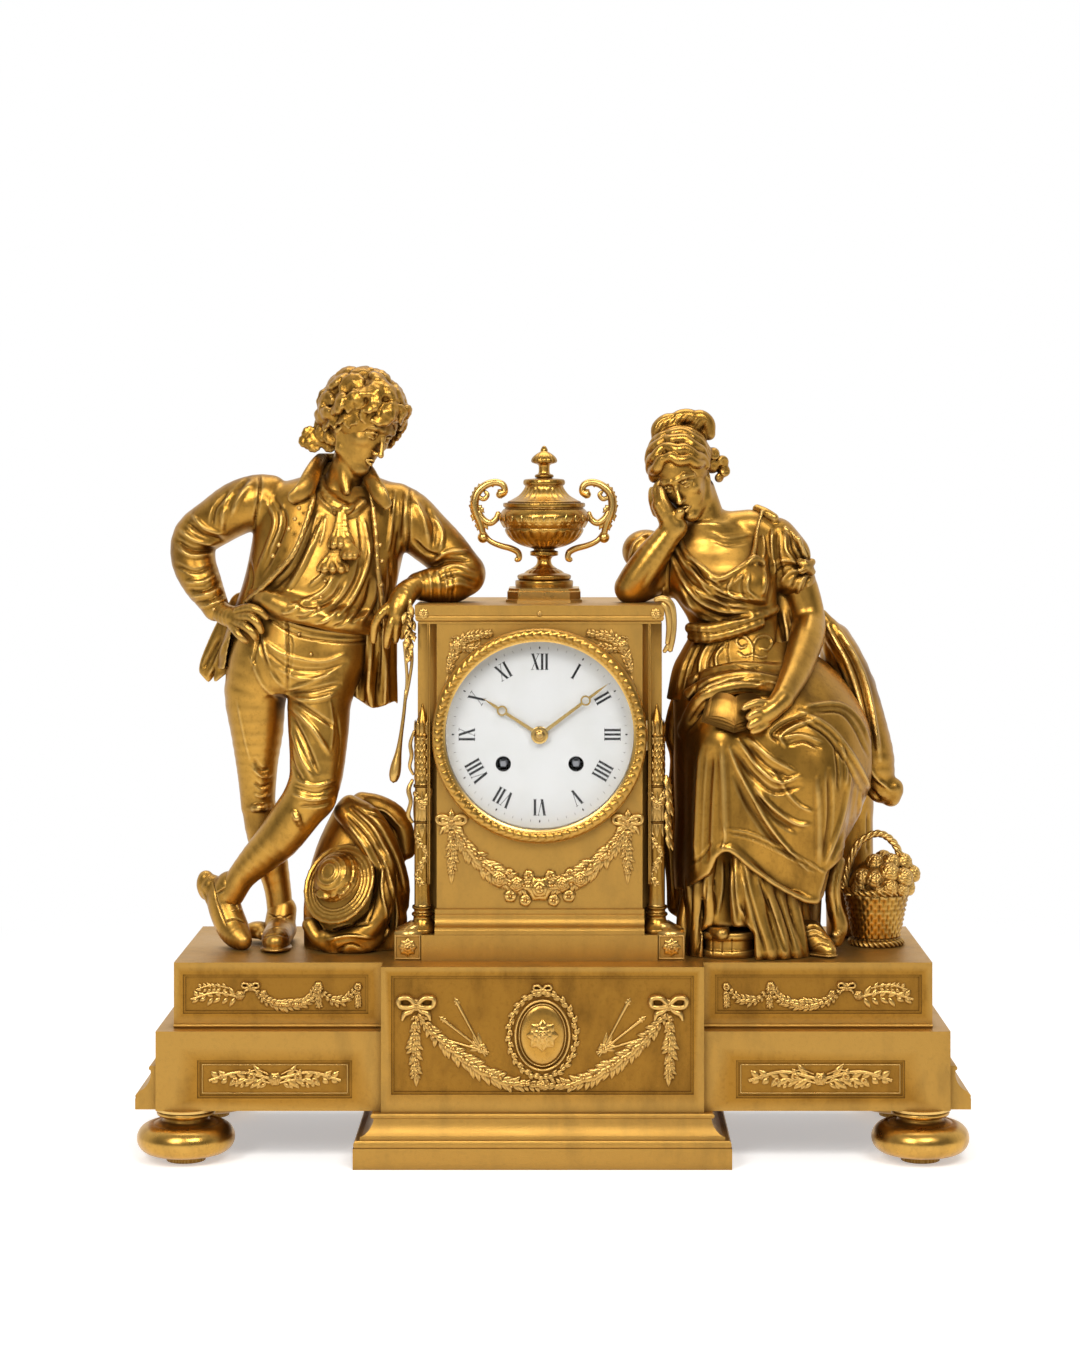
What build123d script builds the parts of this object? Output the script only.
from build123d import *
import math
import os

os.makedirs("parts", exist_ok=True)

# A gilt bronze mantel clock: a case with a round movement between a standing youth and a seated maiden,
# on a stepped base. Millimetres, +Z up, the front looks along -Y, origin under the middle of the base.

# Shared small sizes
gap = 0.3
thin_gap = 0.06
snug = 0.02
overrun = 1.0
stud_r = 2.5
stud_hole_r = 2.6
nut_r = 4.6
nut_bore_r = 2.56
nut_height = 4.0
stud_reach = 11.0

# Base: two wings in two tiers, a centre block and a moulded plinth
wing_left = -238.5
wing_right = 238.5
upper_left = -229.0
upper_right = 229.0
block_left = -102.9
block_right = 90.4
block_front = -79.5
lower_front = -74.5
upper_front = -63.5
base_back = 74.5
underside = 32.3
lower_top = 80.0
base_top = 119.5
block_top = base_top
shell_wall = 5.0
plinth_side = 16.4
plinth_front = 8.0
plinth_back = 0.5
plinth_wall = 14.0
plinth_shares = [
    (0, 0), (0, 0.39), (0.08, 0.39), ((0.02, 0.46), (0.10, 0.53)), (0.25, 0.53), (0.25, 0.60),
    (0.32, 0.60), ((0.60, 0.72), (0.74, 0.91)), (0.70, 0.91), ((0.63, 0.955), (0.72, 1.0)),
]
tier_bead_shares = [(0, 0), ((-0.5, 0.5), (0, 1.0))]
tier_bead = 2.6
end_reach = 12.9
end_setback = 4.0
end_height = 26.2
end_shares = [
    (0, 0), (1.0, 0), (1.0, 0.25), (0.93, 0.25), ((0.99, 0.31), (0.88, 0.37)), (0.80, 0.42),
    ((0.42, 0.58), (0.28, 0.90)), (0.30, 0.90), ((0.36, 0.95), (0.28, 1.0)), (0, 1.0),
]
pad = 40.0
pad_thickness = 5.0

# Panels sunk in the tiers, each with a low relief
sink = 1.6
frame_step = 1.4
upper_panel_low = 88.6
upper_panel_high = 112.2
left_upper_panel = (-223.5, -111.6)
right_upper_panel = (97.8, 222.6)
lower_panel_low = 39.9
lower_panel_high = 62.7
left_lower_panel = (-213.5, -120.6)
right_lower_panel = (109.8, 211.2)
centre_panel = (-96.8, 84.2)
centre_panel_low = 43.2
centre_panel_high = 114.2
relief_depth = 2.6
core_share = 0.62
petal_share = 0.36
leaf_width_share = 0.24
leaf_reach_share = 2.1
leaf_spread = 55.0
swag_end_share = 0.65
swag_swell_share = 0.5

# Bun feet
foot_x = 222.0
foot_y = 60.5
foot_disc_r = 11.8
foot_disc_height = 4.6
foot_bun_r = 29.5
foot_neck_r = 13.5
foot_ring_r = 17.2
foot_cap_r = 18.7
foot_shares = [(0, 0), (0.40, 0), (0.40, 0.14), (0.62, 0.16), ((1.0, 0.43), (0.66, 0.70)), (0.52, 0.74),
               ((0.46, 0.80), (0.56, 0.85)), ((0.60, 0.90), (0.56, 0.95)), (0.63, 0.955), (0.63, 1.0),
               (0, 1.0)]

# Case
case_x = -8.3
case_front = -50.0
case_back = 57.0
case_half = 74.8
case_foot = 150.0
case_top = 323.3
case_wall = 4.0
niche_r = 12.2
dial_z = 255.6
plinth_block_top = 135.0
plinth_half = 71.6
plinth_front_y = -57.5
corner_block = 16.4
corner_block_x = 80.0
corner_block_front = -55.0
moulding_side = 3.2
moulding_front = 7.0
moulding_shares = [(0, 0), ((-0.04, 0.12), (0.10, 0.25)), (0.10, 0.29), ((0.55, 0.42), (0.72, 0.78)),
                   (0.80, 0.80), (0.80, 0.98), (1.0, 1.0)]
slab_top = 334.6
slab_half = 75.85
slab_front = -52.5
slab_back = 62.5
slab_lip_shares = [(1.0, 0), (1.0, 0.12), ((0.35, 0.2), (0.25, 0.42)), (0, 0.46), (0, 1.0)]
slab_lip = 2.0

# Corner torches that stand in the niches
torch_x = 71.5
torch_y = -45.0
torch_r = 4.9
torch_top = 274.8
torch_ring_r = 6.4
torch_flare_height = 12.0
torch_shares = [(0.98, 0.083), (1.27, 0.088), (1.27, 0.105), (1.0, 0.112), (0.98, 0.42), (1.12, 0.43),
    (1.18, 0.52),
                (1.0, 0.55), (1.04, 0.62), (1.03, 0.90), (0.80, 0.94), (0.25, 1.0)]

# Urn on the slab
urn_x = -6.0
urn_y = 5.0
urn_plinth_half = 23.6
urn_plinth_height = 7.0
urn_step_r = 17.6
urn_foot_top = 355.6
urn_bowl_top = 396.4
urn_tip = 431.9
urn_bowl_r = 28.2
urn_foot_shares = [(0, 0), (0.62, 0), (0.62, 0.24), (0.55, 0.26), ((0.60, 0.34), (0.52, 0.42)),
                   ((0.22, 0.62), (0.19, 0.80)), (0.30, 0.86), (0.30, 1.0), (0, 1.0)]
urn_bowl_shares = [(0, 0), (0.24, 0), (0.24, 0.10), ((0.62, 0.16), (0.88, 0.50)), (0.98, 0.56),
    ((1.03, 0.72), (0.92, 0.84)),
                   (0.91, 0.88), (0.91, 1.0), (0, 1.0)]
urn_lid_shares = [(0, 0), (0.80, 0), (0.80, 0.03), ((0.52, 0.10), (0.42, 0.25)), (0.46, 0.27), (0.46, 0.36),
                  ((0.38, 0.44), (0.20, 0.46)), (0.20, 0.50), (0.12, 0.52), (0.12, 0.66),
                  ((0.31, 0.74), (0.12, 0.88)), (0.10, 0.90),
                  (0.15, 0.92), (0.15, 0.955), (0.09, 0.985), (0, 1.0)]
handle_r = 1.9
handle_shares = [(0.34, 0.13), (0.62, 0.06), (0.95, 0.10), (1.30, 0.36), (1.02, 0.62), (1.18, 0.86),
    (1.42, 1.02),
                 (1.48, 1.26), (1.26, 1.42), (1.02, 1.36), (0.94, 1.18), (1.08, 1.06)]

# Dial, bezel and the ring that holds the movement in the case
opening_r = 57.2
dial_r = 57.3
dial_front = -46.0
dial_dome = 1.1
dial_thickness = 1.4
winding_x = 22.2
winding_drop = 17.9
winding_hole_r = 4.7
dial_centre_hole_r = 4.2
dial_foot_r = 1.2
dial_foot_place = 37.0
ring_inner_r = 57.6
ring_outer_r = 59.8
ring_flange_r = 62.5
ring_flange_front = -51.4
ring_back = -36.2
ring_lip_r = 40.0
ring_lip = 1.8
ring_seat_gap = 0.2
bezel_r = 65.2
bezel_back = -51.9
bezel_front = -58.4
bezel_rebate_r = 59.9
bezel_rebate_front = -55.2
glass_gap = 0.1
glass_thickness = 1.8
hinge_y = -52.5
hinge_x = 64.4
hinge_knuckle_r = 1.4
hinge_pin_r = 0.6
hinge_pin_hole_r = 0.66
hinge_half = 9.0
hinge_middle_half = 3.4
hinge_notch = 2.6
hinge_lug = 4.0

# Movement
plate_r = 44.0
front_plate_y = -36.2
plate_thickness = 1.8
pillar_length = 34.0
pillar_r = 3.0
pillar_place = 39.0
pillar_angles = (3.0, 60.0, 120.0, 177.0, 270.0)
arbor_r = 1.5
cannon_r = 2.6
cannon_front = -50.2
arbor_front = -52.4
pipe_r = 3.4
pipe_bore_r = 2.67
pipe_front = -49.2
running_gap = 0.05
motion_y = -39.6
motion_thickness = 1.2
cannon_teeth = 14
minute_wheel_teeth = 42
minute_pinion_teeth = 10
hour_wheel_teeth = 40
motion_centres = 14.0
hour_plane_y = -42.4
stud_pin_r = 1.0
tooth_root_half_share = 0.27
tooth_tip_half_share = 0.13
addendum_share = 0.72
dedendum_share = 1.05
spoke_holes = 5
drum_r = 15.4
drum_y = -30.5
drum_length = 19.0
great_teeth = 80
great_pinion_teeth = 10
great_reach = 17.1
great_y = -11.2
intermediate_teeth = 70
centre_pinion_teeth = 10
centre_reach = 15.2
intermediate_y = -6.6
wheel_thickness = 1.4
winding_arbor_r = 2.4
winding_square = 3.2
winding_front = -45.4
winding_collar = 3.4
escape_place = 23.0
escape_r = 9.0
escape_teeth = 30
escape_y = -5.4
escape_tooth = 1.5
anchor_place = 36.0
anchor_thickness = 1.6
pallet_gap = 0.8
crutch_y = 5.2
crutch_drop = 26.0
crutch_r = 0.9
pivot_r = 0.9

# Pendulum, bell and hammer behind the back plate
pendulum_y = 8.6
pendulum_rod_r = 1.0
bob_drop = 112.0
bob_r = 15.0
bob_half = 3.6
bob_shares = [(0, -1.0), (0.55, -1.0), (0.85, -0.72), (1.0, -0.3), (1.0, 0.3), (0.85, 0.72), (0.55, 1.0),
    (0, 1.0)]
cock_half = 5.0
cock_height = 9.0
cock_thickness = 2.0
suspension_drop = 6.0
bell_r = 35.0
bell_mouth_y = 15.5
bell_depth = 20.0
bell_wall = 1.6
bell_hub_r = 3.0
bell_shares = [(1.0, 0), (0.97, 0.45), (0.80, 0.82), (0.45, 1.0)]
bell_arm = 4.0
bell_arm_angle = 62.0
bell_arm_place = 41.0
hammer_angle = 70.0
hammer_pivot_angle = 20.0
hammer_place = 41.0
hammer_head_r = 3.4
hammer_head_y = 19.0
hammer_head_length = 6.0
hammer_arm = 1.6
hammer_arm_y = 3.0

# Back ring, back door and the two straps that pull the movement against the case
back_hole_r = 55.0
back_ring_r = 60.0
back_ring_depth = 3.0
strap_width = 8.0
strap_thickness = 2.0
strap_place = 52.6
strap_tab = 9.0
screw_r = 1.6
screw_head_r = 3.0
screw_head_height = 2.2
screw_length = 12.0
door_r = 58.0
door_thickness = 1.6
door_lip = 3.0
door_hinge_x = 61.6
door_hinge_r = 1.6

# Limbs end in caps; a limb that runs along Y takes its sections' side from X
cap_reach_share = 0.7
cap_r_share = 0.6
upright_share = 0.2

# Youth: standing with crossed legs, one elbow on the slab. Shares of the figure's height from its own place
youth_height = 360.0
youth_place = (-160.0, 0, base_top)
youth_shares = {
    "head": ((0.119, -0.011, 0.971, 0.036), (0.114, -0.011, 0.962, 0.058), (0.111, -0.017, 0.922, 0.072),
             (0.113, -0.025, 0.878, 0.064), (0.119, -0.034, 0.843, 0.044), (0.122, -0.040, 0.822, 0.022)),
    "hair": ((0.069, 0.006, 0.922, 0.039), (0.033, 0.017, 0.893, 0.036), (0.012, 0.022, 0.879, 0.019)),
    "neck": ((0.106, -0.017, 0.857, 0.031), (0.087, -0.006, 0.812, 0.032), (0.069, 0.006, 0.774, 0.044)),
    "standing_leg": ((-0.063, 0.006, 0.530, 0.067), (-0.074, 0.006, 0.443, 0.058),
    (-0.076, 0.008, 0.356, 0.050),
                     (-0.074, 0.011, 0.274, 0.043), (-0.070, 0.017, 0.240, 0.036),
                     (-0.065, 0.022, 0.197, 0.037),
                     (-0.055, 0.028, 0.127, 0.029), (-0.042, 0.033, 0.065, 0.024),
                     (-0.042, 0.033, 0.030, 0.025)),
    "standing_shoe": ((-0.042, 0.052, 0.018, 0.025), (-0.040, 0.017, 0.015, 0.026),
    (-0.040, -0.017, 0.012, 0.029),
                      (-0.036, -0.048, 0.012, 0.019)),
    "crossing_leg": ((0.032, -0.006, 0.531, 0.067), (0.049, -0.022, 0.428, 0.061),
    (0.045, -0.039, 0.343, 0.053),
                     (0.030, -0.047, 0.270, 0.044), (0.008, -0.047, 0.237, 0.037),
                     (-0.034, -0.042, 0.195, 0.036),
                     (-0.080, -0.028, 0.148, 0.026), (-0.113, -0.017, 0.116, 0.024),
                     (-0.124, -0.011, 0.094, 0.025)),
    "crossing_shoe": ((-0.156, 0.014, 0.100, 0.020), (-0.147, 0.008, 0.084, 0.026),
    (-0.122, -0.003, 0.048, 0.028),
                      (-0.094, -0.011, 0.014, 0.022)),
    "right_arm": ((-0.050, 0.011, 0.795, 0.046), (-0.111, 0.022, 0.777, 0.042),
    (-0.165, 0.028, 0.742, 0.039),
                  (-0.199, 0.028, 0.707, 0.036), (-0.187, 0.017, 0.666, 0.033),
                  (-0.159, -0.006, 0.621, 0.031),
                  (-0.135, -0.022, 0.587, 0.025)),
    "right_hand": ((-0.134, -0.025, 0.584, 0.019), (-0.103, -0.039, 0.564, 0.025),
    (-0.058, -0.050, 0.547, 0.017)),
    "left_upper_arm": ((0.150, 0.011, 0.788, 0.046), (0.211, 0.011, 0.753, 0.042),
    (0.259, 0.006, 0.704, 0.039),
                       (0.288, 0.000, 0.659, 0.035)),
    "left_forearm": ((0.288, -0.003, 0.641, 0.033), (0.248, -0.011, 0.632, 0.032),
    (0.206, -0.017, 0.631, 0.025)),
    "left_hand": ((0.206, -0.017, 0.632, 0.021), (0.177, -0.025, 0.594, 0.025),
    (0.162, -0.031, 0.553, 0.022),
                  (0.144, -0.031, 0.522, 0.011)),
}
youth_torso_shares = ((0.066, 0.006, 0.812, 0.072, 0.036), (0.057, 0.006, 0.778, 0.111, 0.058),
                      (0.045, 0.000, 0.705, 0.117, 0.069), (0.035, -0.003, 0.635, 0.111, 0.064),
                      (0.025, -0.006, 0.580, 0.108, 0.061), (0.000, -0.003, 0.527, 0.114, 0.064),
                      (-0.012, 0.000, 0.482, 0.100, 0.061))
youth_coat_shares = ((0.040, 0.022, 0.739, 0.128, 0.056), (0.022, 0.025, 0.643, 0.139, 0.058),
                     (0.004, 0.031, 0.546, 0.158, 0.056), (-0.007, 0.036, 0.455, 0.167, 0.047))
youth_tail_shares = ((0.092, 0.022, 0.564, 0.067, 0.039), (0.117, 0.022, 0.477, 0.056, 0.036),
                     (0.125, 0.022, 0.414, 0.044, 0.031))

# Walking stick that hangs beside the case, as shares of its length
stick_length = 101.0
stick_place = (-86.6, -38.0, 334.0)
stick_shares = ((0, 0, 0, 0.020), (-0.01, 0, -0.20, 0.036), (-0.015, 0, -0.28, 0.018),
    (-0.05, 0, -0.68, 0.019),
                (-0.08, 0, -0.80, 0.034), (-0.105, 0, -0.96, 0.040), (-0.11, 0, -1.0, 0.024))

# Hat and folded cloth behind the youth, as shares of the bundle's height
bundle_height = 93.0
bundle_place = (-125.0, 0, base_top)
bundle_shares = ((0.00, -0.02, 0, 0.35, 0.30), (0.01, 0.00, 0.33, 0.36, 0.26),
    (0.03, 0.03, 0.65, 0.31, 0.22),
                 (0.03, 0.06, 0.92, 0.18, 0.15), (0.00, 0.06, 1.0, 0.10, 0.08))
hat_place_shares = (-0.14, -0.22, 0.42)
hat_r = 27.0
hat_brim = 2.4
hat_crown_r = 15.0
hat_crown = 11.0
hat_turn = (18.0, -35.0)

# Maiden: seated, chin on one hand. Shares of the figure's height from its own place
maiden_height = 332.0
maiden_place = (95.0, 0, base_top)
maiden_shares = {
    "head": ((-0.029, -0.006, 0.968, 0.042), (-0.031, -0.012, 0.952, 0.066), (-0.034, -0.024, 0.911, 0.075),
             (-0.036, -0.036, 0.868, 0.066), (-0.033, -0.046, 0.831, 0.045), (-0.030, -0.050, 0.808, 0.022)),
    "bun": ((-0.078, 0.000, 0.972, 0.022), (-0.048, 0.000, 0.980, 0.028), (-0.016, 0.000, 0.972, 0.031),
            (0.013, 0.006, 0.965, 0.022)),
    "neck": ((-0.018, -0.030, 0.840, 0.033), (0.001, -0.012, 0.792, 0.036), (0.020, 0.006, 0.749, 0.054)),
    "right_upper_arm": ((-0.030, 0.012, 0.733, 0.054), (-0.078, 0.000, 0.722, 0.048),
    (-0.113, -0.018, 0.704, 0.039),
                        (-0.140, -0.027, 0.684, 0.029)),
    "right_forearm": ((-0.140, -0.032, 0.690, 0.028), (-0.121, -0.038, 0.730, 0.028),
    (-0.098, -0.045, 0.769, 0.024),
                      (-0.087, -0.048, 0.795, 0.021)),
    "right_hand": ((-0.087, -0.051, 0.791, 0.021), (-0.078, -0.057, 0.821, 0.024),
    (-0.080, -0.054, 0.851, 0.015)),
    "left_arm": ((0.120, 0.012, 0.765, 0.054), (0.160, 0.012, 0.745, 0.054), (0.179, 0.012, 0.688, 0.048),
                 (0.194, 0.006, 0.641, 0.033), (0.212, -0.006, 0.598, 0.032), (0.186, -0.042, 0.540, 0.030),
                 (0.153, -0.084, 0.488, 0.023)),
    "left_hand": ((0.153, -0.087, 0.484, 0.020), (0.110, -0.114, 0.457, 0.026),
    (0.072, -0.133, 0.442, 0.015)),
    "knee": ((0.080, -0.060, 0.440, 0.060), (0.030, -0.115, 0.405, 0.062), (0.020, -0.116, 0.250, 0.066),
    (0.030, -0.116, 0, 0.070)),
    "far_knee": ((0.170, -0.060, 0.420, 0.060), (0.185, -0.110, 0.350, 0.062), (0.180, -0.110, 0.200, 0.060),
                 (0.165, -0.100, 0, 0.055)),
    "shoe": ((0.220, -0.090, 0.030, 0.030), (0.222, -0.125, 0.022, 0.026), (0.222, -0.150, 0.020, 0.018)),
    "seat": ((0.251, 0.066, 0.571, 0.030), (0.277, 0.075, 0.475, 0.054), (0.280, 0.072, 0.381, 0.064),
             (0.280, 0.110, 0.250, 0.048), (0.285, 0.125, 0, 0.046)),
    "skirt_back": ((0.185, 0.078, 0.456, 0.066), (0.165, 0.078, 0.341, 0.078), (0.146, 0.072, 0.170, 0.083),
                   (0.136, 0.066, 0, 0.084)),
    "skirt_side": ((-0.019, 0.060, 0.362, 0.036), (-0.023, 0.060, 0.209, 0.036), (-0.019, 0.054, 0, 0.033)),
    "hanging_cloth": ((-0.041, 0.042, 0.478, 0.016), (-0.054, 0.030, 0.437, 0.017),
    (-0.056, 0.042, 0.392, 0.016),
                      (-0.046, 0.048, 0.345, 0.018), (-0.050, 0.042, 0.269, 0.020),
                      (-0.048, 0.036, 0.140, 0.020)),
    "right_sleeve": ((-0.060, 0.010, 0.745, 0.050), (-0.125, 0.020, 0.741, 0.042)),
}
maiden_torso_shares = ((0.020, 0.006, 0.764, 0.078, 0.042), (0.031, 0.003, 0.726, 0.114, 0.063),
                       (0.042, -0.006, 0.670, 0.108, 0.069), (0.054, -0.003, 0.617, 0.093, 0.060),
                       (0.061, 0.000, 0.583, 0.096, 0.063), (0.080, 0.000, 0.534, 0.113, 0.070))
maiden_skirt_shares = ((0.069, 0.000, 0.575, 0.102, 0.066), (0.092, -0.006, 0.523, 0.148, 0.099),
                       (0.110, -0.018, 0.465, 0.172, 0.130), (0.123, -0.024, 0.408, 0.184, 0.148),
                       (0.127, -0.024, 0.333, 0.187, 0.154), (0.111, -0.024, 0.239, 0.169, 0.148),
                       (0.090, -0.024, 0.164, 0.151, 0.139), (0.078, -0.036, 0.086, 0.127, 0.120),
                       (0.075, -0.036, 0.000, 0.130, 0.127))
maiden_drape_shares = ((0.247, 0.024, 0.574, 0.030, 0.036), (0.271, 0.024, 0.479, 0.066, 0.066),
                       (0.298, 0.024, 0.404, 0.072, 0.072), (0.317, 0.024, 0.328, 0.060, 0.066),
                       (0.324, 0.024, 0.271, 0.033, 0.054))
stool_length = 32.0
stool_depth = 12.0
stool_height = 17.0
stool_place = (107.2, -51.5)
book_place = (110.5, -45.0, 272.5)
book_width = 37.0
book_depth = 25.0
book_thickness = 4.4
book_tilt = (24.0, 6.0, 8.0)

# Flower basket
basket_x = 202.2
basket_y = 3.5
basket_height = 31.0
basket_r = 21.0
basket_shares = [(0, 0), (0.79, 0), (0.79, 0.17), (0.66, 0.20), ((0.74, 0.55), (0.95, 0.86)), (1.0, 0.88),
    (1.0, 1.0), (0, 1.0)]
handle_wire = 2.2
basket_handle_shares = ((-0.80, -0.06), (-0.10, 1.78), (0.74, 0.30))
flower_r = 7.5
bud_sides = 8
bud_turn = 60.0
bud_shares = ((-0.92, 0.42), (-0.35, 1.0), (0.35, 1.0), (0.92, 0.42))
flower_shares = ((-0.50, -0.45, 0.05), (0.05, -0.72, 0.10), (0.62, -0.35, 0.12), (-0.25, 0.0, 0.22),
    (0.30, -0.10, 0.42), (0.78, 0.20, 0.30),
                 (-0.60, 0.35, 0.05), (0.05, 0.55, 0.25), (0.50, 0.60, 0.10), (0.55, -0.02, 0.70),
                 (-0.05, -0.35, 0.52))


def keep(name, shape):
    export_step(shape, f"parts/{name}.step")
    return shape


def span_box(x0, x1, y0, y1, z0, z1):
    block = Box(x1 - x0, y1 - y0, z1 - z0)
    return Pos((x0 + x1) / 2, (y0 + y1) / 2, (z0 + z1) / 2) * block


def face_of(items):
    # An outline of points; a pair of points is an arc through the first to the second
    edges = []
    last = items[0]
    for item in items[1:]:
        if isinstance(item[0], tuple):
            edges.append(ThreePointArc(last, item[0], item[1]))
            last = item[1]
        else:
            edges.append(Line(last, item))
            last = item
    edges.append(Line(last, items[0]))
    return make_face(Wire(edges))


def scaled(shares, across, up, start=0, base=0):
    # Shares of two sizes, turned into places
    rows = []
    for row in shares:
        if isinstance(row[0], tuple):
            rows.append(tuple((start + p[0] * across, base + p[1] * up) for p in row))
        else:
            rows.append((start + row[0] * across, base + row[1] * up))
    return rows


def turned_z(items, x, y):
    return Pos(x, y, 0) * revolve(Plane.XZ * face_of(items), Axis.Z)


def turned_y(items):
    # A profile of (radius, y) turned about the dial's axis
    return Pos(case_x, 0, dial_z) * revolve(face_of(items), Axis.Y)


def rod_y(radius, y0, y1, dx=0, dz=0):
    rod = Rot(-90, 0, 0) * Cylinder(radius, y1 - y0, align=(Align.CENTER, Align.CENTER, Align.MIN))
    return Pos(case_x + dx, y0, dial_z + dz) * rod


def rod_z(radius, x, y, z0, z1):
    return Pos(x, y, z0) * Cylinder(radius, z1 - z0, align=(Align.CENTER, Align.CENTER, Align.MIN))


def moulded(x0, x1, y0, y1, z0, height, side, front, back, shares):
    # A moulding mitred round a rectangle: the same profile seen from the front and from the side
    def profile(a0, a1, in0, in1):
        rise = scaled(shares, in0, height, a0, z0)
        fall = []
        mirror = scaled(shares, -in1, height, a1, z0)
        previous = None
        for row in mirror:
            end = row[1] if isinstance(row[0], tuple) else row
            if previous is not None:
                fall.append((row[0], previous) if isinstance(row[0], tuple) else previous)
            previous = end
        fall.append(previous)
        fall.reverse()
        return rise + fall
    along_y = extrude(Plane.XZ * face_of(profile(x0, x1, side, side)), amount=y1 - y0, dir=(0, 1, 0))
    along_x = extrude(Plane.YZ * face_of(profile(y0, y1, front, back)), amount=x1 - x0, dir=(1, 0, 0))
    return (Pos(0, y0, 0) * along_y) & (Pos(x0, 0, 0) * along_x)


def sunk(shape, panel, low, high, front):
    # A panel sunk in two steps into a front face
    for step in range(2):
        inset = step * frame_step
        depth = sink / 2 * (step + 1)
        shape = shape - span_box(panel[0] + inset, panel[1] - inset, front - overrun, front + depth,
            low + inset, high - inset)
    return shape


def nut(x, y, z):
    ring = extrude(RegularPolygon(nut_r, 6), nut_height) - Cylinder(nut_bore_r, nut_height * 3)
    return Pos(x, y, z) * ring


# Low reliefs: flat silhouettes of flowers and leaves, in two heights
def flower_shape(x, z, radius, petals):
    shape = Pos(x, z) * Circle(radius * core_share)
    for k in range(petals):
        turn = 360 / petals * k
        shape = shape + Pos(x, z) * Rot(0, 0, turn) * Pos(radius * core_share,
            0) * Circle(radius * petal_share)
    return shape


def leaf_shape(x, z, length, turn):
    half = length / 2
    wide = length * leaf_width_share
    outline = make_face(Wire([ThreePointArc((-half, 0), (0, wide), (half, 0)),
        ThreePointArc((half, 0), (0, -wide), (-half, 0))]))
    return Pos(x, z) * Rot(0, 0, turn) * outline


def swag_places(x0, z0, x1, z1, sag, count):
    rows = []
    for k in range(count):
        t = (k + 0.5) / count
        x = x0 + (x1 - x0) * t
        z = z0 + (z1 - z0) * t - sag * 4 * t * (1 - t)
        slope = math.degrees(math.atan2((z1 - z0) - sag * 4 * (1 - 2 * t), x1 - x0))
        rows.append((x, z, slope, t))
    return rows


def raised(sketch, front, depth):
    # From a sketch of X and Z to a relief that ends at the face it lies on
    solid = extrude(Plane.XZ * sketch, amount=depth, dir=(0, 1, 0))
    return Pos(0, front - depth, 0) * solid


def swag_sketch(x0, z0, x1, z1, sag, size, count):
    sketch = None
    for x, z, slope, t in swag_places(x0, z0, x1, z1, sag, count):
        swell = size * (swag_end_share + swag_swell_share * math.sin(math.pi * t))
        bead = Pos(x, z) * Circle(swell * core_share)
        reach = swell * leaf_reach_share
        pair = leaf_shape(x, z, reach, slope + leaf_spread) + leaf_shape(x, z, reach, slope - leaf_spread)
        piece = bead + pair
        sketch = piece if sketch is None else sketch + piece
    return sketch


# Figures: rounded limbs through circles, and bodies through flat ellipses
def limb(rows, place, height):
    points = [Vector(place[0] + r[0] * height, place[1] + r[1] * height,
        place[2] + r[2] * height) for r in rows]
    radii = [r[3] * height for r in rows]
    count = len(points)
    sections = []
    for k in range(count):
        ahead = points[min(k + 1, count - 1)] - points[max(k - 1, 0)]
        along = ahead.normalized()
        side = Vector(0, 1, 0).cross(along)
        if side.length < upright_share:
            side = Vector(1, 0, 0)
        frame = Plane(origin=points[k], x_dir=side, z_dir=along)
        if k == 0:
            sections.append(Plane(origin=points[k] - along * radii[k] * cap_reach_share, x_dir=side,
                z_dir=along) * Circle(radii[k] * cap_r_share))
        sections.append(frame * Circle(radii[k]))
        if k == count - 1:
            sections.append(Plane(origin=points[k] + along * radii[k] * cap_reach_share, x_dir=side,
                z_dir=along) * Circle(radii[k] * cap_r_share))
    return loft(sections, ruled=True)


def stack(rows, place, height):
    sections = []
    for r in rows:
        at = Pos(place[0] + r[0] * height, place[1] + r[1] * height, place[2] + r[2] * height)
        sections.append(at * Ellipse(r[3] * height, r[4] * height))
    return loft(sections, ruled=True)


def above_base(shape):
    room = span_box(wing_left, wing_right, lower_front, base_back, base_top - bob_drop, base_top)
    return shape - room


# Wheels of the movement, standing on the Y axis with their back at y = 0
def toothed(teeth, pitch_r, thickness, bore, phase, holes=0, rim=0):
    module = 2 * pitch_r / teeth
    tip = pitch_r + addendum_share * module
    root = pitch_r - dedendum_share * module
    pitch_angle = 360 / teeth
    corners = []
    for k in range(teeth):
        middle = phase + k * pitch_angle
        for radius, share in ((root, -tooth_root_half_share), (tip, -tooth_tip_half_share),
            (tip, tooth_tip_half_share),
                              (root, tooth_root_half_share)):
            angle = math.radians(middle + share * pitch_angle)
            corners.append((radius * math.sin(angle), radius * math.cos(angle)))
    disc = make_face(Polyline(corners + [corners[0]]))
    disc = disc - Circle(bore)
    if holes:
        middle_r = (root - rim + bore * 2) / 2
        hole_r = min((root - rim - bore * 2) / 2, middle_r * math.sin(math.pi / holes) - rim / 2)
        for k in range(holes):
            disc = disc - Rot(0, 0, 360 / holes * k) * Pos(middle_r, 0) * Circle(hole_r)
    return extrude(Plane.XZ * disc, amount=thickness, dir=(0, 1, 0))


def at_dial(shape, y, dx=0, dz=0):
    return Pos(case_x + dx, y, dial_z + dz) * shape


# Base
def tier(left, right, front, low, high):
    shell = span_box(left, right, front, base_back, low, high)
    room = span_box(left + shell_wall, right - shell_wall, front + shell_wall, base_back - shell_wall,
        low - overrun, high - shell_wall)
    return shell - room


plinth = moulded(block_left - plinth_side, block_right + plinth_side, block_front - plinth_front,
    base_back + plinth_back, 0,
                 underside, plinth_side, plinth_front, plinth_back, plinth_shares)
plinth = plinth - span_box(block_left + plinth_wall, block_right - plinth_wall, block_front + plinth_wall,
                           base_back - plinth_wall, -overrun, underside - shell_wall)
keep("base_plinth", plinth)

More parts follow.
